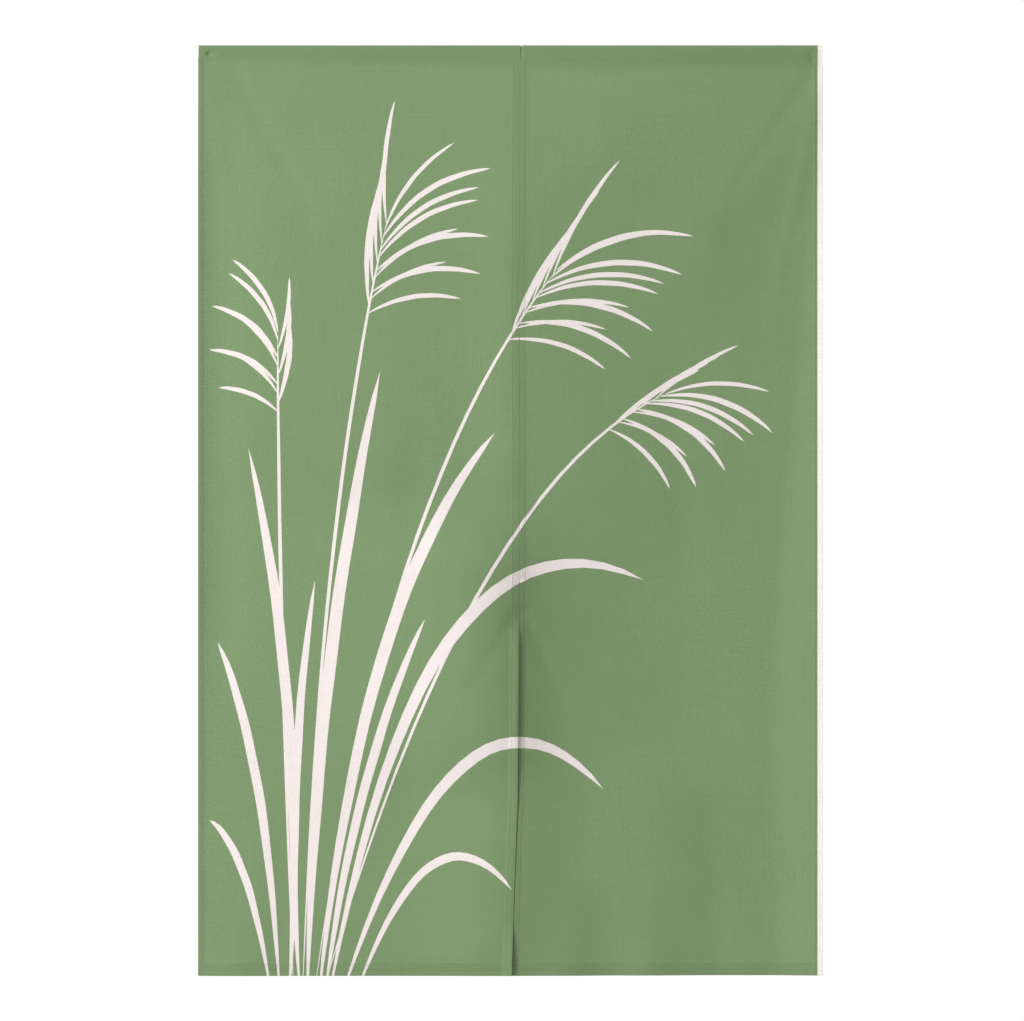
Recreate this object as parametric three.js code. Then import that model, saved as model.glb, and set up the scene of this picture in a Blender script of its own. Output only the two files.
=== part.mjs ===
// A noren: a split door curtain of two printed cotton panels, hung by a rod pocket along its top edge.
// Millimetres, +Z up. The front faces -Y and the origin is the middle of the top edge.
// x runs to the viewer's right, h runs down from the top edge, and a rise comes towards the viewer.
import * as THREE from 'three';

// Driving dimensions
const WIDTH = 805;
const DROP = 1200;
const CLOTH = 1.2;
const CLEARANCE = 0.3;
const SIDE_HEM = 9;
const FOOT_HEM = 15;
const HEM_STEP = 1;
const HEM_EXTRA = 0.8;
const LAP = 8;
const POCKET_SPLIT = 2;
const POCKET_SEAM = 3;
const POCKET_FOOT_SLIT = 0.8;
const POCKET_WIDEST = 0.5;

// The rod keeps the top straight: the folds start below it and reach their full rise over this length
const HANG = { from: 20, over: 240 };

// Mesh fineness
const PANEL_COLUMNS = 15;
const PANEL_ROWS = 32;
const POCKET_STATIONS = 12;
const POCKET_RISE_STEPS = 3;
const POCKET_ROUND_STEPS = 4;

// Turns rows of numbers into rows with named columns
function table(columns, rows) {
  return rows.map((row) => Object.fromEntries(columns.map((column, i) => [column, row[i]])));
}

// The rod pocket along the top: how deep its seam lies below the top edge, and how far it stands open
const POCKET = table(['x', 'seam', 'depth'], [
  [-402.5, 15.5, 8.6],
  [-200, 18.5, 9.2],
  [13, 21.5, 8.8],
  [200, 23.5, 9.4],
  [402.5, 25, 8.8],
]);

// The left panel's inner edge, which lies over the right panel's
const INNER_EDGE = table(['h', 'x'], [
  [0, 13],
  [330, 10.5],
  [520, 12],
  [750, 11],
  [970, 9],
  [1090, 4.5],
  [1200, 1.5],
]);

// How far the right panel's edge falls back behind the left one's: sewn above the slit, loose below it
const SLIT = table(['h', 'fallBack'], [
  [0, 0],
  [745, 0],
  [790, 4],
  [920, 4],
  [1000, 0.8],
  [1130, 0.8],
  [1175, 6],
  [1200, 6],
]);

// The folds: each is a soft ridge, or a trough where its rise is negative, along a straight crest from
// its top to its foot. Its flanks have half widths of their own, and it fades in above and out below.
const FOLDS = table(
  ['topX', 'topH', 'footX', 'footH', 'leftFlank', 'rightFlank', 'topRise', 'footRise', 'fadeIn', 'fadeOut'],
  [
    // Broad swell of the left panel
    [-190, 0, -230, 1000, 190, 330, 15, 6, 1, 500],
    // Trough just inside the left panel's outer edge
    [-376, 0, -376, 700, 24, 34, -4, -4, 1, 300],
    // Ridge along the sewn part of the middle seam
    [6, 0, 6, 520, 45, 180, 7, 8, 1, 120],
    // Belly of the left panel beside the top of the slit, which the right panel falls away from
    [-65, 680, -55, 840, 150, 85, 15, 15, 110, 170],
    // Lip of the left panel beside the foot of the slit
    [-40, 1050, -10, 1200, 85, 70, 6, 5, 120, 100],
    // Hollow in the middle of the right panel
    [195, 700, 205, 880, 110, 95, -7, -6, 140, 120],
    // Short swell at the top of the right panel
    [120, 0, 130, 200, 60, 90, 5, 2, 1, 120],
    // Long trough of the right panel, close to its outer edge, which stands forward down to the foot
    [398, 0, 330, 760, 250, 60, -12, -18, 1, 5000],
    // Drape from the right panel's top corner
    [400, 20, 250, 240, 55, 55, 6, 4, 40, 180],
    // Low swell of the right panel above its hem
    [190, 970, 185, 1060, 70, 70, 4, 4, 90, 90],
    // Ripples of the right panel's hem
    [76, 1060, 74, 1200, 34, 36, 0, 6, 100, 100],
    [178, 1060, 180, 1200, 36, 36, 0, 6, 100, 100],
    // Ripple of the left panel's hem
    [-340, 960, -350, 1200, 50, 80, 0, 7, 100, 100],
  ],
);

const { lerp, clamp, smoothstep } = THREE.MathUtils;

// A table's column at a place between its rows
function between(rows, key, column, place) {
  const last = rows.length - 2;
  const found = rows.findIndex((row, i) => i === last || place <= rows[i + 1][key]);
  const [before, after] = [rows[found], rows[found + 1]];
  const share = clamp((place - before[key]) / (after[key] - before[key]), 0, 1);
  return lerp(before[column], after[column], share);
}

function seamBelowTop(x) {
  return between(POCKET, 'x', 'seam', x);
}

function innerEdge(h) {
  return between(INNER_EDGE, 'h', 'x', h);
}

// How far one fold stands towards the viewer
function foldRise(fold, x, h) {
  const share = clamp((h - fold.topH) / (fold.footH - fold.topH), 0, 1);
  const fromCrest = x - lerp(fold.topX, fold.footX, share);
  const flank = fromCrest < 0 ? fold.leftFlank : fold.rightFlank;
  const fade = smoothstep(h, fold.topH - fold.fadeIn, fold.topH)
    * (1 - smoothstep(h, fold.footH, fold.footH + fold.fadeOut));
  return lerp(fold.topRise, fold.footRise, share) * Math.exp(-((fromCrest / flank) ** 2)) * fade;
}

// The folds of the whole curtain together, which both panels share
function relief(x, h) {
  const hang = smoothstep(h, HANG.from, HANG.from + HANG.over);
  return hang * FOLDS.reduce((sum, fold) => sum + foldRise(fold, x, h), 0);
}

// Half the distance between the middles of the two panels' cloth where they lie over each other
const HALF_LAP_DEPTH = (CLOTH + HEM_EXTRA + CLEARANCE) / 2;

function leftPanelRise(x, h) {
  return relief(x, h) + HALF_LAP_DEPTH;
}

function rightPanelRise(x, h) {
  const edge = innerEdge(h);
  const tucked = 1 - smoothstep(x, edge - LAP / 2, edge + LAP);
  return relief(x, h) - HALF_LAP_DEPTH - tucked * between(SLIT, 'h', 'fallBack', h);
}

// Collects points and faces for one closed body
class Body {
  points = [];

  faces = [];

  point(x, y, z) {
    this.points.push(x, y, z);
    return this.points.length / 3 - 1;
  }

  quad(a, b, c, d) {
    this.faces.push(a, b, c, a, c, d);
  }

  geometry() {
    const made = new THREE.BufferGeometry();
    made.setAttribute('position', new THREE.Float32BufferAttribute(this.points, 3));
    made.setIndex(this.faces);
    made.computeVertexNormals();
    return made;
  }
}

// Distances from one edge to the other, crowded at each hem so that its fold shows as a step
function stationsAcross(length, firstHems, lastHems, count) {
  const start = firstHems.at(-1) ?? 0;
  const stop = length - (lastHems.at(-1) ?? 0);
  const middle = Array.from({ length: count - 1 }, (_, i) => lerp(start, stop, (i + 1) / count));
  const mirrored = lastHems.map((place) => length - place).reverse();
  return [0, ...firstHems, ...middle, ...mirrored, length];
}

const SIDE_HEM_PLACES = [SIDE_HEM / 2, SIDE_HEM - HEM_STEP / 2, SIDE_HEM + HEM_STEP / 2];
const FOOT_HEM_PLACES = [FOOT_HEM - HEM_STEP / 2, FOOT_HEM + HEM_STEP / 2];

// One panel: a sheet from its left to its right edge and from the pocket's seam to the foot, with the
// hems of its two sides and its foot turned to the back
function panelGeometry(leftEdge, rightEdge, rise) {
  const body = new Body();
  const front = [];
  const back = [];
  const drops = stationsAcross(DROP, [], FOOT_HEM_PLACES, PANEL_ROWS);
  for (const drop of drops) {
    const width = rightEdge(drop) - leftEdge(drop);
    const frontRow = [];
    const backRow = [];
    for (const along of stationsAcross(width, SIDE_HEM_PLACES, SIDE_HEM_PLACES, PANEL_COLUMNS)) {
      const x = leftEdge(drop) + along;
      const h = lerp(seamBelowTop(x) + CLEARANCE / 2, DROP, drop / DROP);
      const inHem = along < SIDE_HEM || along > width - SIDE_HEM || drop > DROP - FOOT_HEM;
      const y = -rise(x, h);
      frontRow.push(body.point(x, y - CLOTH / 2, -h));
      backRow.push(body.point(x, y + CLOTH / 2 + (inHem ? HEM_EXTRA : 0), -h));
    }
    front.push(frontRow);
    back.push(backRow);
  }
  const lastRow = front.length - 1;
  const lastColumn = front[0].length - 1;
  for (let r = 0; r < lastRow; r += 1) {
    for (let c = 0; c < lastColumn; c += 1) {
      body.quad(front[r][c], front[r + 1][c], front[r + 1][c + 1], front[r][c + 1]);
      body.quad(back[r][c], back[r][c + 1], back[r + 1][c + 1], back[r + 1][c]);
    }
    body.quad(front[r][0], back[r][0], back[r + 1][0], front[r + 1][0]);
    body.quad(front[r][lastColumn], front[r + 1][lastColumn], back[r + 1][lastColumn], back[r][lastColumn]);
  }
  for (let c = 0; c < lastColumn; c += 1) {
    body.quad(front[0][c], front[0][c + 1], back[0][c + 1], back[0][c]);
    body.quad(front[lastRow][c], back[lastRow][c], back[lastRow][c + 1], front[lastRow][c + 1]);
  }
  return body.geometry();
}

// The pocket's section, up its front, over its round top and down its back, as pairs of y and h
function pocketSection(topH, footH, halfFoot, halfDepth) {
  const widestH = lerp(footH, topH, POCKET_WIDEST);
  const frontSide = [];
  for (let i = 0; i < POCKET_RISE_STEPS; i += 1) {
    const share = i / POCKET_RISE_STEPS;
    frontSide.push([lerp(halfFoot, halfDepth, smoothstep(share, 0, 1)), lerp(footH, widestH, share)]);
  }
  for (let i = 0; i < POCKET_ROUND_STEPS; i += 1) {
    const turn = (Math.PI / 2) * (i / POCKET_ROUND_STEPS);
    frontSide.push([halfDepth * Math.cos(turn), lerp(widestH, topH, Math.sin(turn))]);
  }
  const up = frontSide.map(([half, h]) => [-half, h]);
  const down = frontSide.map(([half, h]) => [half, h]).reverse();
  return [...up, [0, topH], ...down];
}

// One length of the rod pocket: cloth folded over to the back and sewn down, open at both ends
function pocketGeometry(startX, stopX) {
  const body = new Body();
  const outer = [];
  const inner = [];
  for (let i = 0; i <= POCKET_STATIONS; i += 1) {
    const x = lerp(startX, stopX, i / POCKET_STATIONS);
    const seam = seamBelowTop(x) - CLEARANCE / 2;
    const halfDepth = between(POCKET, 'x', 'depth', x) / 2;
    const outside = pocketSection(0, seam, CLOTH, halfDepth);
    const inside = pocketSection(CLOTH, seam - POCKET_SEAM, POCKET_FOOT_SLIT / 2, halfDepth - CLOTH);
    outer.push(outside.map(([y, h]) => body.point(x, y, -h)));
    inner.push(inside.map(([y, h]) => body.point(x, y, -h)));
  }
  const around = outer[0].length;
  const end = POCKET_STATIONS;
  for (let k = 0; k < around; k += 1) {
    const next = (k + 1) % around;
    for (let i = 0; i < end; i += 1) {
      body.quad(outer[i][k], outer[i + 1][k], outer[i + 1][next], outer[i][next]);
      body.quad(inner[i][k], inner[i][next], inner[i + 1][next], inner[i + 1][k]);
    }
    body.quad(outer[0][k], outer[0][next], inner[0][next], inner[0][k]);
    body.quad(outer[end][k], inner[end][k], inner[end][next], outer[end][next]);
  }
  return body.geometry();
}

function cloth(color) {
  return new THREE.MeshStandardMaterial({ color, roughness: 0.92, metalness: 0, side: THREE.DoubleSide });
}

function piece(name, geometry, material) {
  const mesh = new THREE.Mesh(geometry, material);
  mesh.name = name;
  return mesh;
}

const leftOuterEdge = () => -WIDTH / 2;
const rightOuterEdge = () => WIDTH / 2;
const rightInnerEdge = (h) => innerEdge(h) - LAP;
const pocketMeeting = innerEdge(0);

const noren = new THREE.Group();
noren.name = 'noren';
noren.add(
  piece('panel_left', panelGeometry(leftOuterEdge, innerEdge, leftPanelRise), cloth(0x859e74)),
  piece('panel_right', panelGeometry(rightInnerEdge, rightOuterEdge, rightPanelRise), cloth(0x788d66)),
  piece('heading_left', pocketGeometry(-WIDTH / 2, pocketMeeting), cloth(0x7c946e)),
  piece('heading_right', pocketGeometry(pocketMeeting + POCKET_SPLIT, WIDTH / 2), cloth(0x71825f)),
);

export default noren;
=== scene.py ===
"""Looks of a hung noren: two printed cloth panels with turned hems and a rod pocket, sewn above a slit.

Metres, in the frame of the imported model: x to the viewer's right, -Y towards the viewer, +Z up. The cloth
is laid out by x and h, the height below the top edge, and a rise comes towards the viewer.
"""

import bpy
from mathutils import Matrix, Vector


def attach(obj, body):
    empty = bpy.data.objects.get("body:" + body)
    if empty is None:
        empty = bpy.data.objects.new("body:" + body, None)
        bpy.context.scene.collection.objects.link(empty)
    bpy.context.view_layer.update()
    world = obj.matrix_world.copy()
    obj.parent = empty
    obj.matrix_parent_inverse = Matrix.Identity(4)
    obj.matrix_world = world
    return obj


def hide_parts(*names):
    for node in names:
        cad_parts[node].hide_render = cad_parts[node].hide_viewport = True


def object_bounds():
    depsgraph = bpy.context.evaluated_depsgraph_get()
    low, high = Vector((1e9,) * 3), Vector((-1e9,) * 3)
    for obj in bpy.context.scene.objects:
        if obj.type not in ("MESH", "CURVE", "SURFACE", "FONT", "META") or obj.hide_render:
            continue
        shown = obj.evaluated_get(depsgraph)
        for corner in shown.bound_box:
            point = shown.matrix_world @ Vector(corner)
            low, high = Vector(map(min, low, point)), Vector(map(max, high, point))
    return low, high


bl_info = {
    "name": "Hung Noren",
    "version": (1, 0, 0),
    "blender": (4, 5, 0),
    "location": "3D View > Sidebar > Noren",
    "description": "Builds the cloth, sewing and studio of a split door curtain around its packed frame",
    "category": "Object",
}

import math
from collections import namedtuple
from dataclasses import dataclass
from typing import Callable

import bpy
import numpy as np
from mathutils import Vector
from mathutils.geometry import delaunay_2d_cdt

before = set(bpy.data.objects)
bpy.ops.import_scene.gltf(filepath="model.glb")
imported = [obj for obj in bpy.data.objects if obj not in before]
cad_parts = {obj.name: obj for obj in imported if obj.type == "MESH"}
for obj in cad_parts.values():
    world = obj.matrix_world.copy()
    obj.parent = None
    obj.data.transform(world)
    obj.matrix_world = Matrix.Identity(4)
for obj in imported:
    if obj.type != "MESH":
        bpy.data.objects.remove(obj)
CAD_LOW, CAD_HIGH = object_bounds()

BODY = "root"

# The curtain's own sizes, from the frame
HALF_WIDTH = CAD_HIGH.x
DROP = -CAD_LOW.z

# How the two panels lie at the middle
LAP = 0.008
HALF_LAP_DEPTH = 0.0007
TUCKED_HEM = 0.0085

# The rod keeps the top straight: the folds start below it and reach their full rise over this length
HANG_FROM = 0.020
HANG_OVER = 0.240

# The rod pocket along the top: how deep its seam lies below the top edge, how far it stands open
# to the front and back, and how much of that is in front of the seam's middle
Pocket = namedtuple("Pocket", "x seam depth front")
POCKET = [
    Pocket(-0.4025, 0.0155, 0.0086, 0.0018),
    Pocket(-0.200, 0.0185, 0.0092, 0.0020),
    Pocket(0.013, 0.0215, 0.0088, 0.0026),
    Pocket(0.200, 0.0235, 0.0094, 0.0042),
    Pocket(0.4025, 0.0250, 0.0088, 0.0044),
]

# The left panel's inner edge, which lies over the right panel's
Edge = namedtuple("Edge", "h x")
INNER_EDGE = [
    Edge(0.0, 0.013),
    Edge(0.330, 0.0105),
    Edge(0.520, 0.012),
    Edge(0.750, 0.011),
    Edge(0.970, 0.009),
    Edge(1.090, 0.0045),
    Edge(1.200, 0.0015),
]

# How far the left panel's edge lifts off the right one's: sewn down to the slit's top, loose from there on
Slit = namedtuple("Slit", "h lift")
SLIT = [
    Slit(0.0, 0.0),
    Slit(0.745, 0.0),
    Slit(0.775, 0.004),
    Slit(0.920, 0.004),
    Slit(1.000, 0.0018),
    Slit(1.130, 0.0008),
    Slit(1.175, 0.006),
    Slit(1.200, 0.006),
]
SLIT_TOP = SLIT[1].h

# The folds: each is a soft ridge, or a trough where its rise is negative, along a straight crest from
# its top to its foot. Its flanks have half widths of their own, and it fades in above and out below.
Fold = namedtuple(
    "Fold", "top_x top_h foot_x foot_h left_flank right_flank top_rise foot_rise fade_in fade_out")
FOLDS = {
    "left swell": Fold(-0.190, 0.0, -0.230, 1.000, 0.190, 0.330, 0.015, 0.006, 0.001, 0.500),
    "left trough": Fold(-0.376, 0.0, -0.376, 0.700, 0.024, 0.034, -0.004, -0.004, 0.001, 0.300),
    "seam ridge": Fold(0.006, 0.0, 0.006, 0.520, 0.045, 0.180, 0.007, 0.008, 0.001, 0.120),
    "slit belly": Fold(-0.065, 0.680, -0.055, 0.840, 0.150, 0.085, 0.015, 0.015, 0.110, 0.170),
    "slit lip": Fold(-0.040, 1.050, -0.010, 1.200, 0.085, 0.070, 0.006, 0.005, 0.120, 0.100),
    "middle hollow": Fold(0.195, 0.700, 0.205, 0.880, 0.110, 0.095, -0.007, -0.006, 0.140, 0.120),
    "right swell": Fold(0.120, 0.0, 0.130, 0.200, 0.060, 0.090, 0.005, 0.002, 0.001, 0.120),
    "right trough": Fold(0.398, 0.0, 0.330, 0.760, 0.250, 0.060, -0.012, -0.018, 0.001, 5.000),
    "corner drape": Fold(0.400, 0.020, 0.250, 0.240, 0.055, 0.055, 0.006, 0.004, 0.040, 0.180),
    "low swell": Fold(0.190, 0.970, 0.185, 1.060, 0.070, 0.070, 0.004, 0.004, 0.090, 0.090),
    "hem ripple one": Fold(0.076, 1.060, 0.074, 1.200, 0.034, 0.036, 0.0, 0.006, 0.100, 0.100),
    "hem ripple two": Fold(0.178, 1.060, 0.180, 1.200, 0.036, 0.036, 0.0, 0.006, 0.100, 0.100),
    "hem ripple three": Fold(-0.340, 0.960, -0.350, 1.200, 0.050, 0.080, 0.0, 0.007, 0.100, 0.100),
}

# Creases that the solids leave out, in the same columns. Most are fine ones; the slit's shade and the low
# slit ridge are soft swells that deepen the folds beside the slit.
CREASES = {
    "top left pull": Fold(-0.360, 0.030, -0.262, 0.210, 0.013, 0.016, -0.0012, -0.0005, 0.020, 0.120),
    "left edge pull": Fold(-0.385, 0.060, -0.350, 0.330, 0.012, 0.014, 0.0007, 0.0004, 0.040, 0.160),
    "top right pull": Fold(0.388, 0.040, 0.285, 0.190, 0.013, 0.015, -0.0013, -0.0006, 0.020, 0.100),
    "right edge pull": Fold(0.398, 0.060, 0.345, 0.300, 0.010, 0.012, 0.0010, 0.0006, 0.030, 0.160),
    "slit shade": Fold(-0.022, 0.690, -0.018, 0.860, 0.095, 0.056, 0.012, 0.013, 0.110, 0.120),
    "slit pull left": Fold(0.004, 0.740, -0.060, 0.840, 0.010, 0.012, -0.0012, -0.0004, 0.020, 0.080),
    "slit pull right": Fold(0.018, 0.735, 0.070, 0.850, 0.011, 0.011, -0.0012, -0.0004, 0.020, 0.090),
    "low slit ridge": Fold(0.002, 0.955, -0.006, 1.150, 0.080, 0.060, 0.008, 0.008, 0.110, 0.080),
    "right soft line": Fold(0.210, 0.480, 0.235, 0.760, 0.022, 0.030, -0.0012, -0.0010, 0.120, 0.160),
    "left soft line": Fold(-0.120, 0.560, -0.135, 0.930, 0.026, 0.022, -0.0012, -0.0012, 0.120, 0.160),
    "low left line": Fold(-0.290, 1.010, -0.300, 1.200, 0.020, 0.024, -0.0016, -0.0016, 0.090, 0.100),
    "low right line": Fold(0.262, 1.030, 0.268, 1.200, 0.020, 0.022, -0.0012, -0.0020, 0.090, 0.100),
}

# One stroke of the print: a bent spine from its root by its knee to its tip, and its greatest width
Stroke = namedtuple("Stroke", "root_x root_h knee_x knee_h tip_x tip_h width")
BLADES = [
    Stroke(-0.285, 1.215, -0.262, 0.860, -0.338, 0.520, 0.014),
    Stroke(-0.262, 1.215, -0.250, 0.780, -0.168, 0.420, 0.016),
    Stroke(-0.246, 1.215, -0.190, 0.700, -0.020, 0.500, 0.016),
    Stroke(-0.232, 1.215, -0.110, 0.560, 0.172, 0.690, 0.016),
    Stroke(-0.298, 1.215, -0.318, 0.900, -0.378, 0.770, 0.012),
    Stroke(-0.214, 1.215, -0.060, 0.760, 0.120, 0.960, 0.015),
    Stroke(-0.196, 1.215, -0.100, 0.960, 0.002, 1.090, 0.011),
    Stroke(-0.310, 1.215, -0.340, 1.030, -0.388, 1.000, 0.010),
    Stroke(-0.272, 1.215, -0.292, 0.960, -0.252, 0.690, 0.011),
    Stroke(-0.238, 1.215, -0.200, 0.930, -0.110, 0.740, 0.012),
]

# One plume of the print: its stalk from root to neck, the side it nods to, and its tassels
Plume = namedtuple("Plume", "root_x root_h knee_x knee_h neck_x neck_h side tassels length")
PLUMES = [
    Plume(-0.252, 1.215, -0.160, 0.560, 0.060, 0.290, 1, 15, 0.190),
    Plume(-0.268, 1.215, -0.245, 0.600, -0.160, 0.230, 1, 14, 0.175),
    Plume(-0.240, 1.215, -0.050, 0.560, 0.200, 0.450, 1, 13, 0.160),
    Plume(-0.280, 1.215, -0.300, 0.700, -0.300, 0.370, -1, 10, 0.120),
]


def linear(hex_colour):
    """An sRGB hex colour as linear red, green and blue."""
    parts = [int(hex_colour[i:i + 2], 16) / 255 for i in (1, 3, 5)]
    return [c / 12.92 if c <= 0.04045 else ((c + 0.055) / 1.055) ** 2.4 for c in parts]


class NorenClothSettings(bpy.types.PropertyGroup):
    """Sizes of the cloth and its sewing."""

    thickness: bpy.props.FloatProperty(
        name="Cloth", description="Thickness of the cloth", default=0.0004, unit="LENGTH")
    mesh_step: bpy.props.FloatProperty(
        name="Mesh step", description="Distance between mesh points", default=0.0055, unit="LENGTH")
    side_hem: bpy.props.FloatProperty(
        name="Side hem", description="Width of the hems at the sides", default=0.009, unit="LENGTH")
    foot_hem: bpy.props.FloatProperty(
        name="Foot hem", description="Height of the hem at the foot", default=0.015, unit="LENGTH")
    margin: bpy.props.FloatProperty(
        name="Margin", description="Unprinted strip along the right edge", default=0.006, unit="LENGTH")
    stitch: bpy.props.FloatProperty(
        name="Stitch", description="Length of one stitch with its gap", default=0.0032, unit="LENGTH")
    thread: bpy.props.FloatProperty(
        name="Thread", description="Thickness of the sewing thread", default=0.00045, unit="LENGTH")


class NorenColourSettings(bpy.types.PropertyGroup):
    """Colours of the cloth, print, thread and studio."""

    ground: bpy.props.FloatVectorProperty(
        name="Ground", description="Printed ground", subtype="COLOR", default=linear("#869F75"))
    motif: bpy.props.FloatVectorProperty(
        name="Motif", description="Printed plants", subtype="COLOR", default=linear("#E9E1E0"))
    reverse: bpy.props.FloatVectorProperty(
        name="Reverse", description="Back of the print", subtype="COLOR", default=linear("#A9B89D"))
    margin: bpy.props.FloatVectorProperty(
        name="Margin", description="Unprinted cloth", subtype="COLOR", default=linear("#F1EDE6"))
    thread: bpy.props.FloatVectorProperty(
        name="Thread", description="Sewing thread", subtype="COLOR", default=linear("#71885F"))
    floor: bpy.props.FloatVectorProperty(
        name="Floor", description="Studio floor", subtype="COLOR", default=linear("#EDEBE6"))


# Shape of the hung cloth

def ease(share):
    share = np.clip(share, 0.0, 1.0)
    return share * share * (3.0 - 2.0 * share)


def column(rows, name):
    return [getattr(row, name) for row in rows]


def seam_below_top(x):
    return np.interp(x, column(POCKET, "x"), column(POCKET, "seam"))


def pocket_depth(x):
    return np.interp(x, column(POCKET, "x"), column(POCKET, "depth"))


def inner_edge(h):
    return np.interp(h, column(INNER_EDGE, "h"), column(INNER_EDGE, "x"))


def fold_rise(fold, x, h):
    """How far one fold stands towards the viewer."""
    share = np.clip((h - fold.top_h) / (fold.foot_h - fold.top_h), 0.0, 1.0)
    from_crest = x - (fold.top_x + (fold.foot_x - fold.top_x) * share)
    flank = np.where(from_crest < 0, fold.left_flank, fold.right_flank)
    fade_in = ease((h - fold.top_h + fold.fade_in) / fold.fade_in)
    fade_out = ease((fold.foot_h + fold.fade_out - h) / fold.fade_out)
    rise = fold.top_rise + (fold.foot_rise - fold.top_rise) * share
    return rise * np.exp(-(from_crest / flank) ** 2) * fade_in * fade_out


def relief(x, h):
    """The folds and creases of the whole curtain, which both panels share."""
    hang = ease((h - HANG_FROM) / HANG_OVER)
    folds = sum(fold_rise(fold, x, h) for fold in FOLDS.values())
    creases = sum(fold_rise(crease, x, h) for crease in CREASES.values())
    return hang * folds + creases


# How a sewn hem shows on the face of the cloth
HEM_RIDGE = 0.0003
HEM_BLEND = 0.003
STITCH_INSET = 0.0012
GROOVE_DEPTH = 0.00025
GROOVE_REACH = 0.0010
PUCKER_DEPTH = 0.00016
PUCKER_LENGTH = 0.017
PUCKER_DRIFT = 0.110
PUCKER_UNEVENNESS = 1.7
PUCKER_REACH = 0.007


def sewn_edge(inside, along, hem):
    """Rise of a hem's ridge, its stitch groove and the puckers beside it, by the way in from the edge."""
    from_stitch = inside - (hem - STITCH_INSET)
    ridge = HEM_RIDGE * (1.0 - ease((inside - hem) / HEM_BLEND))
    groove = -GROOVE_DEPTH * np.exp(-(from_stitch / GROOVE_REACH) ** 2)
    drift = PUCKER_UNEVENNESS * np.sin(along * math.tau / PUCKER_DRIFT)
    wave = np.sin(along * math.tau / PUCKER_LENGTH + drift)
    pucker = PUCKER_DEPTH * wave * np.exp(-(from_stitch / PUCKER_REACH) ** 2)
    return ridge + groove + pucker


# A crease pressed along the foot, with a lip below it
FOOT_CREASE_H = DROP - 0.0048
FOOT_CREASE_DEPTH = 0.0004
FOOT_CREASE_REACH = 0.0017


def foot_crease(h):
    return -FOOT_CREASE_DEPTH * np.exp(-((h - FOOT_CREASE_H) / FOOT_CREASE_REACH) ** 2)


# Width over which the right panel steps back under the left one's edge
FLUSH_STEP = 0.0016

# The left panel's share of the slit's lift, the width of its lip, and how far the right panel's part shows
LIP_SHARE = 0.75
LIP_WIDTH = 0.014
TUCK_SEEN = 0.003

# The outermost strip of the left edge curls towards the viewer
EDGE_CURL = 0.0006
EDGE_CURL_WIDTH = 0.0070


@dataclass
class Panel:
    """One panel of the curtain, by its edges and how it lies at the lap."""

    name: str
    nodes: tuple
    left_edge: Callable
    right_edge: Callable
    lap_rise: Callable
    tucked_side: str
    pocket_from: float
    pocket_seen_from: float
    pocket_tuck: Callable
    pocket_slack: Callable
    flat: tuple
    cloth: bpy.types.PropertyGroup = None

    def hem(self, side):
        """Width of the hem at a side; the right panel's inner one also reaches under the left panel."""
        return self.cloth.side_hem + (TUCKED_HEM if side == self.tucked_side else 0.0)

    def rise(self, x, h):
        """How far the middle of the cloth stands towards the viewer."""
        from_left = x - self.left_edge(h)
        from_right = self.right_edge(h) - x
        rise = relief(x, h) + self.lap_rise(x, h)
        rise = rise + sewn_edge(from_left, h, self.hem("left"))
        rise = rise + sewn_edge(from_right, h, self.hem("right"))
        rise = rise + sewn_edge(DROP - h, x, self.cloth.foot_hem) + foot_crease(h)
        return rise + self.heading_groove(x, h)

    def heading_groove(self, x, h):
        below = h - seam_below_top(x)
        return -GROOVE_DEPTH * np.exp(-(below / GROOVE_REACH) ** 2)

    def point(self, x, h, behind=0.0):
        return np.stack([x, behind - self.rise(x, np.minimum(h, DROP)), -h], axis=-1)

    def normal(self, x, h):
        """The cloth's face, towards the viewer."""
        step = 0.0002
        inside = np.minimum(h, DROP - step)
        across = (self.rise(x + step, inside) - self.rise(x - step, inside)) / (2 * step)
        down = (self.rise(x, inside + step) - self.rise(x, inside - step)) / (2 * step)
        face = np.stack([-across, -np.ones_like(across), down], axis=-1)
        return face / np.linalg.norm(face, axis=-1, keepdims=True)


def slit_lift(h):
    return np.interp(h, column(SLIT, "h"), column(SLIT, "lift"))


def left_lap(x, h):
    """The left panel lies over the right one; its outer edge curls, its inner edge stands out at the slit."""
    curl = EDGE_CURL * ease((EDGE_CURL_WIDTH - (x + HALF_WIDTH)) / EDGE_CURL_WIDTH)
    lip = LIP_SHARE * slit_lift(h) * ease((x - inner_edge(h) + LIP_WIDTH) / LIP_WIDTH)
    return HALF_LAP_DEPTH + curl + lip


def right_lap(x, h):
    """The right panel lies flush with the left one beside the seam, steps back under it, and falls back
    a little further where the slit is open."""
    edge = inner_edge(h)
    under = 1.0 - ease((x - edge + FLUSH_STEP / 2) / FLUSH_STEP)
    tucked = 1.0 - ease((x - edge + LAP) / (LAP + TUCK_SEEN))
    return HALF_LAP_DEPTH - 2.0 * HALF_LAP_DEPTH * under - (1.0 - LIP_SHARE) * slit_lift(h) * tucked


def outer_left(h):
    return np.full_like(h, -HALF_WIDTH)


def outer_right(h):
    return np.full_like(h, HALF_WIDTH)


def tucked_edge(h):
    return inner_edge(h) - LAP


# Where the two pockets meet, the right one's end is a little narrower and lies inside the left one's
POCKET_MEETING = INNER_EDGE[0].x
POCKET_INSIDE = 0.003
POCKET_NARROWER = 0.0013
NARROWER_PAST_MEETING = 0.0002
NARROWER_OVER = 0.0030

# The left pocket's back has slack to make room for it, from a little before the lap on
POCKET_SLACK = 0.0021
SLACK_BEFORE_LAP = 0.005
SLACK_OVER = 0.004


def no_change(x):
    return np.zeros_like(x)


def right_tuck(x):
    widened = ease((x - POCKET_MEETING - NARROWER_PAST_MEETING) / NARROWER_OVER)
    return POCKET_NARROWER * (1.0 - widened)


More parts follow.
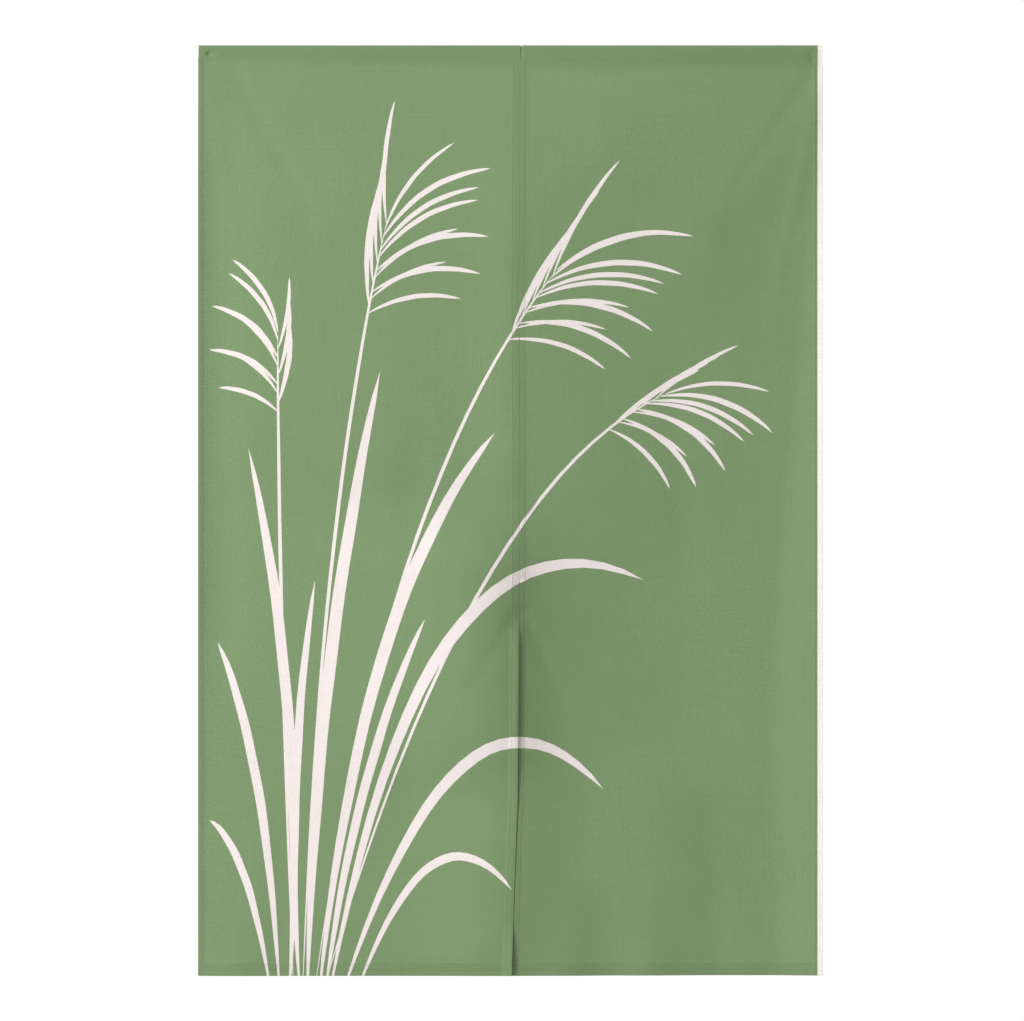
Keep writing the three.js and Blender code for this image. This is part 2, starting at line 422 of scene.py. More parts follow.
def left_slack(x):
    return POCKET_SLACK * ease((x - POCKET_MEETING + LAP + SLACK_BEFORE_LAP) / SLACK_OVER)


PANELS = [
    Panel(
        name="cloth_left", nodes=("panel_left", "heading_left"), left_edge=outer_left, right_edge=inner_edge,
        lap_rise=left_lap, tucked_side="", pocket_from=-HALF_WIDTH, pocket_seen_from=-HALF_WIDTH,
        pocket_tuck=no_change, pocket_slack=left_slack, flat=(0.434, 1.256)),
    Panel(
        name="cloth_right", nodes=("panel_right", "heading_right"), left_edge=tucked_edge,
        right_edge=outer_right, lap_rise=right_lap, tucked_side="left",
        pocket_from=POCKET_MEETING - POCKET_INSIDE, pocket_seen_from=POCKET_MEETING,
        pocket_tuck=right_tuck, pocket_slack=no_change, flat=(0.434, 1.262)),
]


# The print

def bend(root, knee, tip, shares):
    """Points of a spine bent from root to tip."""
    t = shares[:, None]
    return (1 - t) ** 2 * np.array(root) + 2 * t * (1 - t) * np.array(knee) + t ** 2 * np.array(tip)


# A brush stroke: how it swells from its root and thins to its tip, and how its two sides wobble
STROKE_POINTS = 22
ROOT_WIDTH = 0.03
SWELL_POWER = 0.8
THIN_POWER = 0.6
BRUSH_WOBBLE = 0.06
SLOW_WOBBLE = 11.0
FAST_WOBBLE = 27.0
WOBBLE_PHASE = 40.0
OTHER_SIDE_WOBBLE = 0.6


def stroke_outline(stroke):
    """The closed outline of a brush stroke, thin at its root, widest past its middle, pointed at its tip."""
    t = np.linspace(0.0, 1.0, STROKE_POINTS)
    spine = bend((stroke.root_x, stroke.root_h), (stroke.knee_x, stroke.knee_h),
                 (stroke.tip_x, stroke.tip_h), t)
    along = np.gradient(spine, axis=0)
    along /= np.linalg.norm(along, axis=1, keepdims=True)
    beside = np.stack([-along[:, 1], along[:, 0]], axis=1)
    swell = (t + ROOT_WIDTH) ** SWELL_POWER * (1.0 - t) ** THIN_POWER
    half = (stroke.width / 2) * swell / swell.max()
    phase = stroke.tip_x * WOBBLE_PHASE
    wobble = BRUSH_WOBBLE * (np.sin(t * SLOW_WOBBLE + phase) + np.sin(t * FAST_WOBBLE - phase))
    one_side = spine + beside * (half * (1.0 + wobble))[:, None]
    other_side = spine - beside * (half * (1.0 - OTHER_SIDE_WOBBLE * wobble))[:, None]
    return np.concatenate([other_side[:-1], spine[-1:], one_side[-2::-1]])


STALK_WIDTH = 0.0046
TASSEL_WIDTH = 0.0060
TASSEL_SPREAD = 0.15
TASSEL_HALF = 0.52

# How the tassels differ: by degrees from the stalk and in their bend, and by shares of length and width.
# Every third one leaves the stalk on its other side.
UNEVEN_STEP = 2.4
LEAN_LOWEST, LEAN_LOSS, LEAN_UNEVEN = 46.0, 40.0, 7.0
DROOP, DROOP_UNEVEN = 44.0, 8.0
OTHER_SIDE_LEAN, OTHER_SIDE_DROOP = -20.0, 22.0
LENGTH_LOWEST, LENGTH_GAIN, LENGTH_UNEVEN = 0.72, 0.2, 0.12
WIDTH_UNEVEN = 0.2


def heading(angle, length):
    """A step of a length, by its angle from straight up to the right."""
    return np.array([length * math.sin(angle), -length * math.cos(angle)])


def plume_strokes(plume):
    """A plume's stalk and the tassels that leave its upper end, spread out and nod to one side."""
    root, knee = (plume.root_x, plume.root_h), (plume.knee_x, plume.knee_h)
    neck = (plume.neck_x, plume.neck_h)
    stalk_angle = math.atan2(neck[0] - knee[0], knee[1] - neck[1])
    strokes = [Stroke(*root, *knee, *neck, STALK_WIDTH)]
    for i in range(plume.tassels):
        share = i / (plume.tassels - 1)
        uneven = math.sin(UNEVEN_STEP * i)
        start = bend(root, knee, neck, np.array([1.0 - TASSEL_SPREAD * (1.0 - share)]))[0]
        other_side = i % 3 == 1
        lean = OTHER_SIDE_LEAN if other_side else LEAN_LOWEST - LEAN_LOSS * share + LEAN_UNEVEN * uneven
        droop = OTHER_SIDE_DROOP if other_side else DROOP + DROOP_UNEVEN * uneven
        half = TASSEL_HALF * plume.length * (LENGTH_LOWEST + LENGTH_GAIN * share + LENGTH_UNEVEN * uneven)
        first = stalk_angle + plume.side * math.radians(lean)
        bent = start + heading(first, half)
        tip = bent + heading(first + plume.side * math.radians(droop), half)
        strokes.append(Stroke(*start, *bent, *tip, TASSEL_WIDTH * (1.0 + WIDTH_UNEVEN * uneven)))
    return strokes


def print_outlines():
    strokes = list(BLADES)
    for plume in PLUMES:
        strokes += plume_strokes(plume)
    return [stroke_outline(stroke) for stroke in strokes]


# The cloth's mesh

GROUND, MOTIF, REVERSE, MARGIN = range(4)


class Surface:
    """Points with normals, and faces with the finish of their face and of their back."""

    def __init__(self):
        self.points = np.zeros((0, 3))
        self.normals = np.zeros((0, 3))
        self.faces = []
        self.finishes = []

    def add(self, points, normals):
        first = len(self.points)
        self.points = np.concatenate([self.points, points])
        self.normals = np.concatenate([self.normals, normals])
        return np.arange(first, first + len(points))

    def face(self, corners, finish):
        self.faces.append(tuple(int(c) for c in corners))
        self.finishes.append(finish)

    def turn_out(self, first):
        """Turns the faces from a first one on, all together, so that they look along their normals."""
        towards = 0.0
        for corners in self.faces[first:]:
            a, b, c = self.points[list(corners[:3])]
            towards += np.dot(np.cross(b - a, c - a), self.normals[corners[0]])
        if towards < 0:
            self.faces[first:] = [corners[::-1] for corners in self.faces[first:]]

    def edge_loop(self):
        """The edges that only one face has, each in its face's turn, with that face's finish."""
        once = {}
        for corners, finish in zip(self.faces, self.finishes):
            for a, b in zip(corners, corners[1:] + corners[:1]):
                if once.pop((b, a), None) is None:
                    once[a, b] = finish
        return once

    def thick_object(self, name, thickness, materials):
        """The surface as a closed sheet of cloth, smooth on its two sides and sharp at its cut edges."""
        count = len(self.points)
        half = self.normals * (thickness / 2)
        points = np.concatenate([self.points + half, self.points - half])
        normals = np.concatenate([self.normals, -self.normals])
        rims = list(self.edge_loop())
        faces = list(self.faces)
        faces += [tuple(c + count for c in reversed(corners)) for corners in self.faces]
        slots = list(self.finishes)
        slots += [REVERSE if finish == GROUND else finish for finish in self.finishes]
        corner_normals = [normals[c] for corners in faces for c in corners]
        for a, b in rims:
            faces.append((a, a + count, b + count, b))
            slots.append(MARGIN)
            out = np.cross(points[a + count] - points[a], points[b] - points[a])
            corner_normals += [out / max(np.linalg.norm(out), 1e-12)] * 4
        mesh = bpy.data.meshes.new(name)
        mesh.from_pydata(points.tolist(), [], faces)
        for material in materials:
            mesh.materials.append(material)
        mesh.polygons.foreach_set("material_index", slots)
        mesh.polygons.foreach_set("use_smooth", [True] * len(faces))
        mesh.normals_split_custom_set(np.array(corner_normals).tolist())
        mesh.validate()
        made = bpy.data.objects.new(name, mesh)
        bpy.context.scene.collection.objects.link(made)
        return made


def stations(length, near_start, near_end, count):
    """Distances along a length, close together at its sewn ends and even between them."""
    start, stop = near_start[-1], length - near_end[-1]
    middle = np.linspace(start, stop, count + 1)[1:-1]
    return np.concatenate([near_start, middle, length - np.array(near_end[::-1])])


# Where mesh points crowd: across a hem's stitches, past the hem, towards it from the edge, up from the foot
# by shares of its hem, and down from the pocket's seam
ACROSS_STITCHES = (-0.0010, -0.0005, 0.0, 0.0005, 0.0010, 0.0022, 0.0042)
PAST_HEM = (0.0045, 0.0060, 0.0075, 0.0100)
ALONG_HEM = 0.0014
UP_FROM_FOOT = (0.0, 0.2, 0.45, 0.7, 0.85)
PAST_FOOT_HEM = (1.0, 1.1, 1.3)
BELOW_SEAM = (0.0, 0.0008, 0.0018, 0.0035, 0.006)


def crowd_at_hem(hem, margin):
    """Distances in from an edge, close together along its hem's stitches and with one at the margin."""
    stitches = hem - STITCH_INSET
    across_stitches = [stitches + step for step in ACROSS_STITCHES]
    towards_them = np.linspace(0.0, across_stitches[0], 1 + math.ceil(hem / ALONG_HEM))[:-1]
    past_hem = [hem + step for step in PAST_HEM]
    return sorted({0.0, margin, *towards_them, *across_stitches, *past_hem})


def lattice(panel):
    """Rows of x and h over the whole panel, from the pocket's seam to the foot."""
    cloth = panel.cloth
    foot = cloth.foot_hem
    crowd_left = crowd_at_hem(panel.hem("left"), cloth.margin)
    crowd_right = crowd_at_hem(panel.hem("right"), cloth.margin)
    crowd_foot = [share * foot for share in UP_FROM_FOOT]
    crowd_foot += [foot - STITCH_INSET, *(share * foot for share in PAST_FOOT_HEM)]
    columns = round(HALF_WIDTH / cloth.mesh_step)
    drops = stations(DROP, BELOW_SEAM, crowd_foot, round(DROP / cloth.mesh_step))
    rows = []
    for drop in drops:
        left, right = panel.left_edge(drop), panel.right_edge(drop)
        x = left + stations(float(right - left), crowd_left, crowd_right, columns)
        seam = seam_below_top(x)
        rows.append(np.stack([x, seam + (DROP - seam) * drop / DROP], axis=1))
    return rows


def border_ids(rows, columns):
    """The lattice's outer points in order: along the top, down the right, along the foot, up the left."""
    top = list(range(columns))
    right = [r * columns + columns - 1 for r in range(1, rows)]
    foot = [(rows - 1) * columns + c for c in range(columns - 2, -1, -1)]
    left = [r * columns for r in range(rows - 2, 0, -1)]
    return top + right + foot + left


def loop_edges(ids):
    return list(zip(ids, ids[1:] + ids[:1]))


# How near a side a point counts as on it, how near two points count as one in the cut, and the cut's mode:
# every triangle inside the points' hull
ON_LINE = 2e-6
CUT_APART = 1e-6
KEEP_HULL = 0


def cut_face(panel, surface):
    """Adds the panel's printed face, cut along the print's outlines, and returns its four sides in order."""
    rows = lattice(panel)
    columns = len(rows[0])
    flat = list(np.concatenate(rows))
    border = border_ids(len(rows), columns)
    edges = loop_edges(border)
    areas = [border]
    leftmost, rightmost = min(p[0] for p in flat), max(p[0] for p in flat)
    for outline in print_outlines():
        if outline[:, 0].max() < leftmost or outline[:, 0].min() > rightmost:
            continue
        ids = list(range(len(flat), len(flat) + len(outline)))
        flat += list(outline)
        edges += loop_edges(ids)
        areas.append(ids)
    found, _, cut_faces, _, _, areas_at = delaunay_2d_cdt(
        [Vector(p) for p in flat], edges, areas, KEEP_HULL, CUT_APART, True)
    places = np.array([tuple(p) for p in found])
    kept = [i for i, inside in enumerate(areas_at) if 0 in inside]
    used = sorted({v for i in kept for v in cut_faces[i]})
    x, h = places[used].T
    ids = surface.add(panel.point(x, h), panel.normal(x, h))
    new_id = dict(zip(used, ids))
    edge_of_margin = HALF_WIDTH - panel.cloth.margin
    for i in kept:
        corners = cut_faces[i]
        finish = MOTIF if len(areas_at[i]) > 1 else GROUND
        if places[list(corners), 0].mean() > edge_of_margin:
            finish = MARGIN
        surface.face([new_id[v] for v in corners], finish)
    surface.turn_out(0)
    return sides_of(rows, x, h, ids)


def sides_of(rows, x, h, ids):
    """The points that lie on the lattice's top, right side, foot and left side, each in order."""
    sides = []
    for line, across in ((rows[0], True), ([row[-1] for row in rows], False),
                         (rows[-1], True), ([row[0] for row in rows], False)):
        line_x, line_h = np.array(line).T
        off = h - np.interp(x, line_x, line_h) if across else x - np.interp(h, line_h, line_x)
        on_line = np.flatnonzero(np.abs(off) < ON_LINE)
        order = np.argsort((x if across else h)[on_line])
        sides.append([int(i) for i in ids[on_line][order]])
    return sides


def strip(surface, side, rows_of_points, rows_of_normals, once):
    """Carries the cloth on from one side of the face, row by row, with the finish that it has there."""
    before = np.array(side)
    first = len(surface.faces)
    finishes = [once.get((b, a), once.get((a, b), GROUND)) for a, b in zip(side, side[1:])]
    for points, normals in zip(rows_of_points, rows_of_normals):
        ids = surface.add(points, normals)
        for i, finish in enumerate(finishes):
            surface.face((before[i], before[i + 1], ids[i + 1], ids[i]), finish)
        before = ids
    surface.turn_out(first)


FOLD_TURNS = [math.radians(a) for a in (45, 90, 135, 180)]
HEM_SHARES = (0.15, 0.4, 0.65, 0.86, 1.0)


def hem_places(radius, width):
    """Way out from the edge, way behind the face, and turn, at each step of a hem folded to the back."""
    round_part = [(radius * math.sin(a), radius * (1 - math.cos(a)), a) for a in FOLD_TURNS]
    flat_part = [(-width * s, 2 * radius, math.pi) for s in HEM_SHARES]
    return round_part + flat_part


SIDE_FOLD_RADIUS = 0.0003
FOOT_FOLD_RADIUS = 0.0006


def turn_side_hem(panel, surface, side, hem, outward, once):
    at = surface.points[side]
    x, h = at[:, 0], -at[:, 2]
    points, normals = [], []
    for out, behind, turn in hem_places(SIDE_FOLD_RADIUS, hem):
        there = x + outward * out
        face = panel.normal(there, h)
        points.append(panel.point(there, h, behind))
        normals.append(math.cos(turn) * face + math.sin(turn) * np.array([outward, 0.0, 0.0]))
    strip(surface, side, points, normals, once)


def turn_foot_hem(panel, surface, side, once):
    at = surface.points[side]
    x, h = at[:, 0], -at[:, 2]
    points, normals = [], []
    for out, behind, turn in hem_places(FOOT_FOLD_RADIUS, panel.cloth.foot_hem):
        there = h + out
        face = panel.normal(x, there)
        points.append(panel.point(x, there, behind))
        normals.append(math.cos(turn) * face + math.sin(turn) * np.array([0.0, 0.0, -1.0]))
    strip(surface, side, points, normals, once)


# The pocket's form: how far up it is widest, the steps up to there and round its crown, how square the crown
# is, the gap at its foot, and the tail of cloth below its seam at the back
POCKET_WIDEST = 0.84
POCKET_RISE = (0.12, 0.25, 0.4, 0.6, 0.8, 1.0)
POCKET_ROUND = [math.radians(a) for a in (15, 30, 45, 60, 75, 90)]
CROWN_POWER = 0.6
POCKET_FOOT = 0.0009
POCKET_TAIL = (0.0015, 0.0035, 0.006)
TAIL_BEHIND = 0.0012

# Dents where the pocket's ends pull on the rod: each runs down from the top edge to the seam
Dent = namedtuple("Dent", "top_x seam_x left_reach right_reach depth")
POCKET_DENTS = [
    Dent(-0.3862, -0.3918, 0.0024, 0.0090, 0.0022),
    Dent(0.3850, 0.3900, 0.0030, 0.0060, 0.0014),
]


# Makes the greatest strength of a dent one
DENT_PEAK = 6.75


def dent_strength(share):
    """Nothing at the seam and the crown, and full a third of the way up."""
    return DENT_PEAK * share * (1.0 - share) ** 2


def pocket_dents(x, h, seam):
    """How far the pocket's dents push its front back."""
    pushed = no_change(x)
    for dent in POCKET_DENTS:
        aside = x - dent.top_x - (dent.seam_x - dent.top_x) * h / seam
        reach = np.where(aside < 0, dent.left_reach, dent.right_reach)
        pushed = pushed + dent.depth * np.exp(-(aside / reach) ** 2)
    return pushed


def fold_pocket(panel, surface, side, once):
    """Carries the top over to the back as the rod pocket, down to its seam and a little below it."""
    side = [v for v in side if surface.points[v, 0] >= panel.pocket_from]
    at = surface.points[side]
    x, front_foot, seam = at[:, 0], at[:, 1], -at[:, 2]
    half = panel.cloth.thickness / 2
    tuck, slack = panel.pocket_tuck(x), panel.pocket_slack(x)
    back_foot = front_foot + POCKET_FOOT + slack
    front = tuck - np.interp(x, column(POCKET, "x"), column(POCKET, "front"))
    back = front + pocket_depth(x) - 2 * half - 2 * tuck
    crown = half + tuck
    widest = seam + (crown - seam) * POCKET_WIDEST
    middle, half_depth = (front + back) / 2, (back - front) / 2
    rising = [(share, seam + (widest - seam) * share) for share in POCKET_RISE]
    rounded = [(math.cos(turn) ** CROWN_POWER, widest + (crown - widest) * math.sin(turn))
               for turn in POCKET_ROUND]
    points = []
    for out, h in rising:
        dent = dent_strength(out) * pocket_dents(x, h, seam)
        points.append(np.stack([x, front_foot + (front - front_foot) * out + dent, -h], axis=1))
    points += [np.stack([x, middle - half_depth * out, -h], axis=1) for out, h in rounded]
    points += [np.stack([x, middle + half_depth * out, -h], axis=1) for out, h in rounded[-2::-1]]
    points += [np.stack([x, back_foot + (back - back_foot) * out, -h], axis=1) for out, h in rising[::-1]]
    points.append(np.stack([x, back_foot, -seam], axis=1))
    for below in POCKET_TAIL:
        points.append(panel.point(x, seam + below, TAIL_BEHIND + slack))
    rows = [at] + points
    normals = []
    for i in range(1, len(rows)):
        way = rows[min(i + 1, len(rows) - 1)] - rows[i - 1]
        face = np.cross(np.gradient(rows[i], axis=0), way)
        normals.append(face / np.linalg.norm(face, axis=1, keepdims=True))
    strip(surface, side, points, normals, once)


def make_panel(panel, materials):
    surface = Surface()
    top, right, foot, left = cut_face(panel, surface)
    once = surface.edge_loop()
    turn_side_hem(panel, surface, left, panel.hem("left"), -1.0, once)
    turn_side_hem(panel, surface, right, panel.hem("right"), 1.0, once)
    turn_foot_hem(panel, surface, foot, once)
    fold_pocket(panel, surface, top, once)
    return surface.thick_object(panel.name, panel.cloth.thickness, materials)


# The sewing

STITCH_FILL = 0.84
STITCH_SIDES = 5
STITCH_RINGS = ((-1.0, 0.30), (-0.62, 0.88), (0.0, 1.0), (0.62, 0.88), (1.0, 0.30))


def stitch_form():
    """One stitch along X, a unit long each way and a unit thick each way, with its faces."""
    points = []
    for along, radius in STITCH_RINGS:
        for side in range(STITCH_SIDES):
            turn = math.tau * side / STITCH_SIDES
            points.append((along, radius * math.cos(turn), radius * math.sin(turn)))
    faces = []
    for ring in range(len(STITCH_RINGS) - 1):
        for side in range(STITCH_SIDES):
            a = ring * STITCH_SIDES + side
            b = ring * STITCH_SIDES + (side + 1) % STITCH_SIDES
            faces.append((a, b, b + STITCH_SIDES, a + STITCH_SIDES))
    last = (len(STITCH_RINGS) - 1) * STITCH_SIDES
    faces.append(tuple(range(STITCH_SIDES - 1, -1, -1)))
    faces.append(tuple(range(last, last + STITCH_SIDES)))
    return np.array(points), faces


def read_along(rows, lengths, places):
    """The rows' values at places along a path, by the path's length at each row."""
    return np.stack([np.interp(places, lengths, rows[:, i]) for i in range(3)], axis=1)


def stitches_along(path, faces, stitch, thread):
    """Stitch shapes laid end to end along a path of points, each on the face that the cloth has there."""
    form, form_faces = stitch_form()
    lengths = np.concatenate([[0.0], np.cumsum(np.linalg.norm(np.diff(path, axis=0), axis=1))])
    count = int(lengths[-1] / stitch)
    places = (np.arange(count) + 0.5) * stitch
    middles = read_along(path, lengths, places)
    way = read_along(path, lengths, places + stitch / 2) - read_along(path, lengths, places - stitch / 2)
    way /= np.linalg.norm(way, axis=1, keepdims=True)
    up = read_along(faces, lengths, places)
    beside = np.cross(up, way)
    half_length = stitch * STITCH_FILL / 2
    points = (middles[:, None, :]
              + form[None, :, 0:1] * half_length * way[:, None, :]
              + form[None, :, 1:2] * (thread / 2) * beside[:, None, :]
              + form[None, :, 2:3] * (thread / 2) * up[:, None, :])
    return points.reshape(-1, 3), form_faces, count


# Points along a seam, and how far it stops short of the foot and of an edge and lies below the pocket
SEAM_STEP = 0.004
SHORT_OF_FOOT = 0.001
SHORT_OF_EDGE = 0.002
BELOW_POCKET = 0.0002


def seam_paths(panel):
    """Paths of the panel's seams on its face and on its back, each with the face of the cloth there."""
    cloth = panel.cloth
    top = float(seam_below_top(np.array([panel.pocket_seen_from]))[0])
    down = np.arange(top + SEAM_STEP, DROP - SHORT_OF_FOOT, SEAM_STEP)
    left = panel.left_edge(down) + panel.hem("left") - STITCH_INSET
    right = panel.right_edge(down) - panel.hem("right") + STITCH_INSET
    across = np.arange(panel.left_edge(np.array([DROP]))[0] + SHORT_OF_EDGE,
                       panel.right_edge(np.array([DROP]))[0] - SHORT_OF_EDGE, SEAM_STEP)
    foot = np.full_like(across, DROP - cloth.foot_hem + STITCH_INSET)
    over = np.arange(panel.pocket_seen_from + SHORT_OF_EDGE,
                     panel.right_edge(np.array([0.0]))[0] - SHORT_OF_EDGE, SEAM_STEP)
    seams = [(left, down, 2 * SIDE_FOLD_RADIUS), (right, down, 2 * SIDE_FOLD_RADIUS),
             (across, foot, 2 * FOOT_FOLD_RADIUS), (over, seam_below_top(over) + BELOW_POCKET, TAIL_BEHIND)]
    half = cloth.thickness / 2
    for x, h, behind in seams:
        face = panel.normal(x, h)
        yield panel.point(x, h) + face * half, face
        yield panel.point(x, h, behind) - face * half, -face


BAR_TACK_WIDTH = 0.011
BAR_TACK_ROW = 0.00055
BAR_TACK_HEIGHT = 0.0026
BAR_TACK_RAISED = 0.0001


def bar_tack_paths(panel):
    """Close upright stitches across the top of the slit."""
    middle = float(inner_edge(np.array([SLIT_TOP]))[0])
    for x in np.arange(middle - BAR_TACK_WIDTH / 2, middle, BAR_TACK_ROW):
        h = np.linspace(SLIT_TOP - BAR_TACK_HEIGHT / 2, SLIT_TOP + BAR_TACK_HEIGHT / 2, 3)
        places = np.full_like(h, x)
        face = panel.normal(places, h)
        yield panel.point(places, h) + face * (panel.cloth.thickness / 2 + BAR_TACK_RAISED), face


# Keeps a path's last stitch when its length is a whole number of stitches
STITCH_FIT = 0.999


def make_sewing(panel, material):
    cloth = panel.cloth
    points, faces = [], []
    first = 0
    paths = [(path, face, cloth.stitch) for path, face in seam_paths(panel)]
    if panel.name == "cloth_left":
        paths += [(path, face, BAR_TACK_HEIGHT) for path, face in bar_tack_paths(panel)]
    for path, face, stitch in paths:
        made, form_faces, count = stitches_along(path, face, stitch * STITCH_FIT, cloth.thread)
        points.append(made)
        size = STITCH_SIDES * len(STITCH_RINGS)
        for i in range(count):
            faces += [tuple(v + first + i * size for v in corners) for corners in form_faces]
        first += len(made)
    mesh = bpy.data.meshes.new(panel.name.replace("cloth", "sewing"))
    mesh.from_pydata(np.concatenate(points).tolist(), [], faces)
    mesh.polygons.foreach_set("use_smooth", [True] * len(faces))
    mesh.materials.append(material)
    made = bpy.data.objects.new(mesh.name, mesh)
    bpy.context.scene.collection.objects.link(made)
    return made


# Materials

def add_node(tree, kind, inputs=None, **settings):
    """Adds a node with its settings; an input is a value, or an output socket to link from."""
    node = tree.nodes.new(kind)
    for name, value in settings.items():
        setattr(node, name, value)
    for name, value in (inputs or {}).items():
        socket = node.inputs[name]
        if isinstance(value, bpy.types.NodeSocket):
            tree.links.new(value, socket)
        else:
            socket.default_value = value
    return node


def empty_material(name):
    material = bpy.data.materials.new(name)
    material.use_nodes = True
    material.node_tree.nodes.clear()
    return material


# Threads are about 0.5 mm apart in life. They are drawn 1.6 mm apart, so that the weave shows.
THREAD_SPACING = 0.0016
SLUB_WIDTH = 0.0022
SLUB_LENGTH = 0.070
CLOUD_SIZE = 0.120
WEAVE_DEPTH = 0.00022
SLUB_HEIGHT = 0.9


def woven_cloth(name, colour, tone_change, see_through):
    """Plain-woven cotton, calendered and printed: matt, with a fine even weave, faint thicker threads along
    and across it, a slightly cloudy tone, and light passing through, so that doubled cloth reads darker."""
    material = empty_material(name)
    tree = material.node_tree
    place = add_node(tree, "ShaderNodeTexCoord").outputs["Object"]
    axes = add_node(tree, "ShaderNodeSeparateXYZ", {"Vector": place})
    turn = math.pi / THREAD_SPACING
    waves = []
    for axis in ("X", "Z"):
        angle = add_node(tree, "ShaderNodeMath", {0: axes.outputs[axis], 1: turn}, operation="MULTIPLY")
        waves.append(add_node(tree, "ShaderNodeMath", {0: angle.outputs[0]}, operation="SINE").outputs[0])
    weave = add_node(tree, "ShaderNodeMath", {0: waves[0], 1: waves[1]}, operation="MULTIPLY")
    slubs = []
    thin, long = 1 / SLUB_WIDTH, 1 / SLUB_LENGTH
    for stretch in ((thin, thin, long), (long, thin, thin)):
        scaled = add_node(tree, "ShaderNodeMapping", {"Vector": place, "Scale": stretch}).outputs[0]
        noise = add_node(tree, "ShaderNodeTexNoise", {"Vector": scaled, "Scale": 1.0, "Detail": 2.0})
        slubs.append(noise.outputs[0])
    slub = add_node(tree, "ShaderNodeMath", {0: slubs[0], 1: slubs[1]}, operation="ADD")
    cloud = add_node(tree, "ShaderNodeTexNoise", {"Vector": place, "Scale": 1 / CLOUD_SIZE, "Detail": 3.0})
    uneven = add_node(tree, "ShaderNodeMath", {0: slub.outputs[0], 1: cloud.outputs[0]}, operation="ADD")
    tone = add_node(
        tree, "ShaderNodeMapRange",
        {"Value": uneven.outputs[0], "From Min": 0.9, "From Max": 2.1,
         "To Min": 1.0 - tone_change, "To Max": 1.0 + tone_change})
    tinted = add_node(
        tree, "ShaderNodeVectorMath", {0: (*colour,), 1: tone.outputs[0]}, operation="MULTIPLY")
    height = add_node(
        tree, "ShaderNodeMath",
        {0: slub.outputs[0], 1: SLUB_HEIGHT, 2: weave.outputs[0]}, operation="MULTIPLY_ADD")
    bump = add_node(
        tree, "ShaderNodeBump", {"Height": height.outputs[0], "Strength": 0.35, "Distance": WEAVE_DEPTH})
    face = add_node(
        tree, "ShaderNodeBsdfPrincipled",
        {"Base Color": tinted.outputs[0], "Roughness": 0.93, "Specular IOR Level": 0.22, "Sheen Weight": 0.06,
         "Sheen Roughness": 0.6, "Normal": bump.outputs[0]})
    through = add_node(
        tree, "ShaderNodeBsdfTranslucent", {"Color": tinted.outputs[0], "Normal": bump.outputs[0]})
    both = add_node(tree, "ShaderNodeMixShader", {0: see_through, 1: face.outputs[0], 2: through.outputs[0]})
    add_node(tree, "ShaderNodeOutputMaterial", {"Surface": both.outputs[0]})
    return material


# The thread's twist, and the stipple that a roller leaves on the floor
TWIST_LENGTH = 0.0006
TWIST_DEPTH = 0.0001
STIPPLE_SIZE = 0.004
STIPPLE_DEPTH = 0.0003


def sewing_thread(name, colour):
    """Spun polyester sewing thread: matt with a slight sheen, its twist no more than a soft ribbing."""
    material = empty_material(name)
    tree = material.node_tree
    place = add_node(tree, "ShaderNodeTexCoord").outputs["Object"]
    twist = add_node(tree, "ShaderNodeTexNoise", {"Vector": place, "Scale": 1 / TWIST_LENGTH, "Detail": 2.0})
    tone = add_node(tree, "ShaderNodeMapRange", {"Value": twist.outputs[0], "To Min": 0.88, "To Max": 1.1})
    tinted = add_node(
        tree, "ShaderNodeVectorMath", {0: (*colour,), 1: tone.outputs[0]}, operation="MULTIPLY")
    bump = add_node(
        tree, "ShaderNodeBump", {"Height": twist.outputs[0], "Strength": 0.4, "Distance": TWIST_DEPTH})
    face = add_node(
        tree, "ShaderNodeBsdfPrincipled",
        {"Base Color": tinted.outputs[0], "Roughness": 0.7, "Sheen Weight": 0.1, "Normal": bump.outputs[0]})
    add_node(tree, "ShaderNodeOutputMaterial", {"Surface": face.outputs[0]})
    return material


def painted_floor(name, colour):
    """Matt painted studio floor: pale, even, with a faint roller texture."""
    material = empty_material(name)
    tree = material.node_tree
    place = add_node(tree, "ShaderNodeTexCoord").outputs["Object"]
    stipple = add_node(
        tree, "ShaderNodeTexNoise", {"Vector": place, "Scale": 1 / STIPPLE_SIZE, "Detail": 3.0})
    bump = add_node(
        tree, "ShaderNodeBump", {"Height": stipple.outputs[0], "Strength": 0.1, "Distance": STIPPLE_DEPTH})
    face = add_node(
        tree, "ShaderNodeBsdfPrincipled",
        {"Base Color": (*colour, 1.0), "Roughness": 0.8, "Normal": bump.outputs[0]})
    add_node(tree, "ShaderNodeOutputMaterial", {"Surface": face.outputs[0]})
    return material


# Studio

# The photograph's frame: its size, and where the curtain's middle lies in it
PICTURE_WIDTH, PICTURE_HEIGHT = 1024, 1021
CURTAIN_PIXELS = 929.8
CURTAIN_MIDDLE = (510.45, 510.2)
CAMERA_DISTANCE = 15.0
SENSOR = 0.036
FLOOR_BELOW = 0.75
FLOOR_RADIUS = 3.2
MIDDLE = Vector((0.0, 0.0, -DROP / 2))

Lamp = namedtuple("Lamp", "name way distance size power")
LAMPS = [
    Lamp("key", (-0.66, -0.60, 0.45), 6.5, 1.6, 508.0),
    Lamp("fill", (0.75, -0.65, 0.10), 4.0, 2.0, 12.0),
    Lamp("back", (0.35, 0.85, 0.40), 6.5, 2.4, 170.0),
]
AMBIENT = 0.40


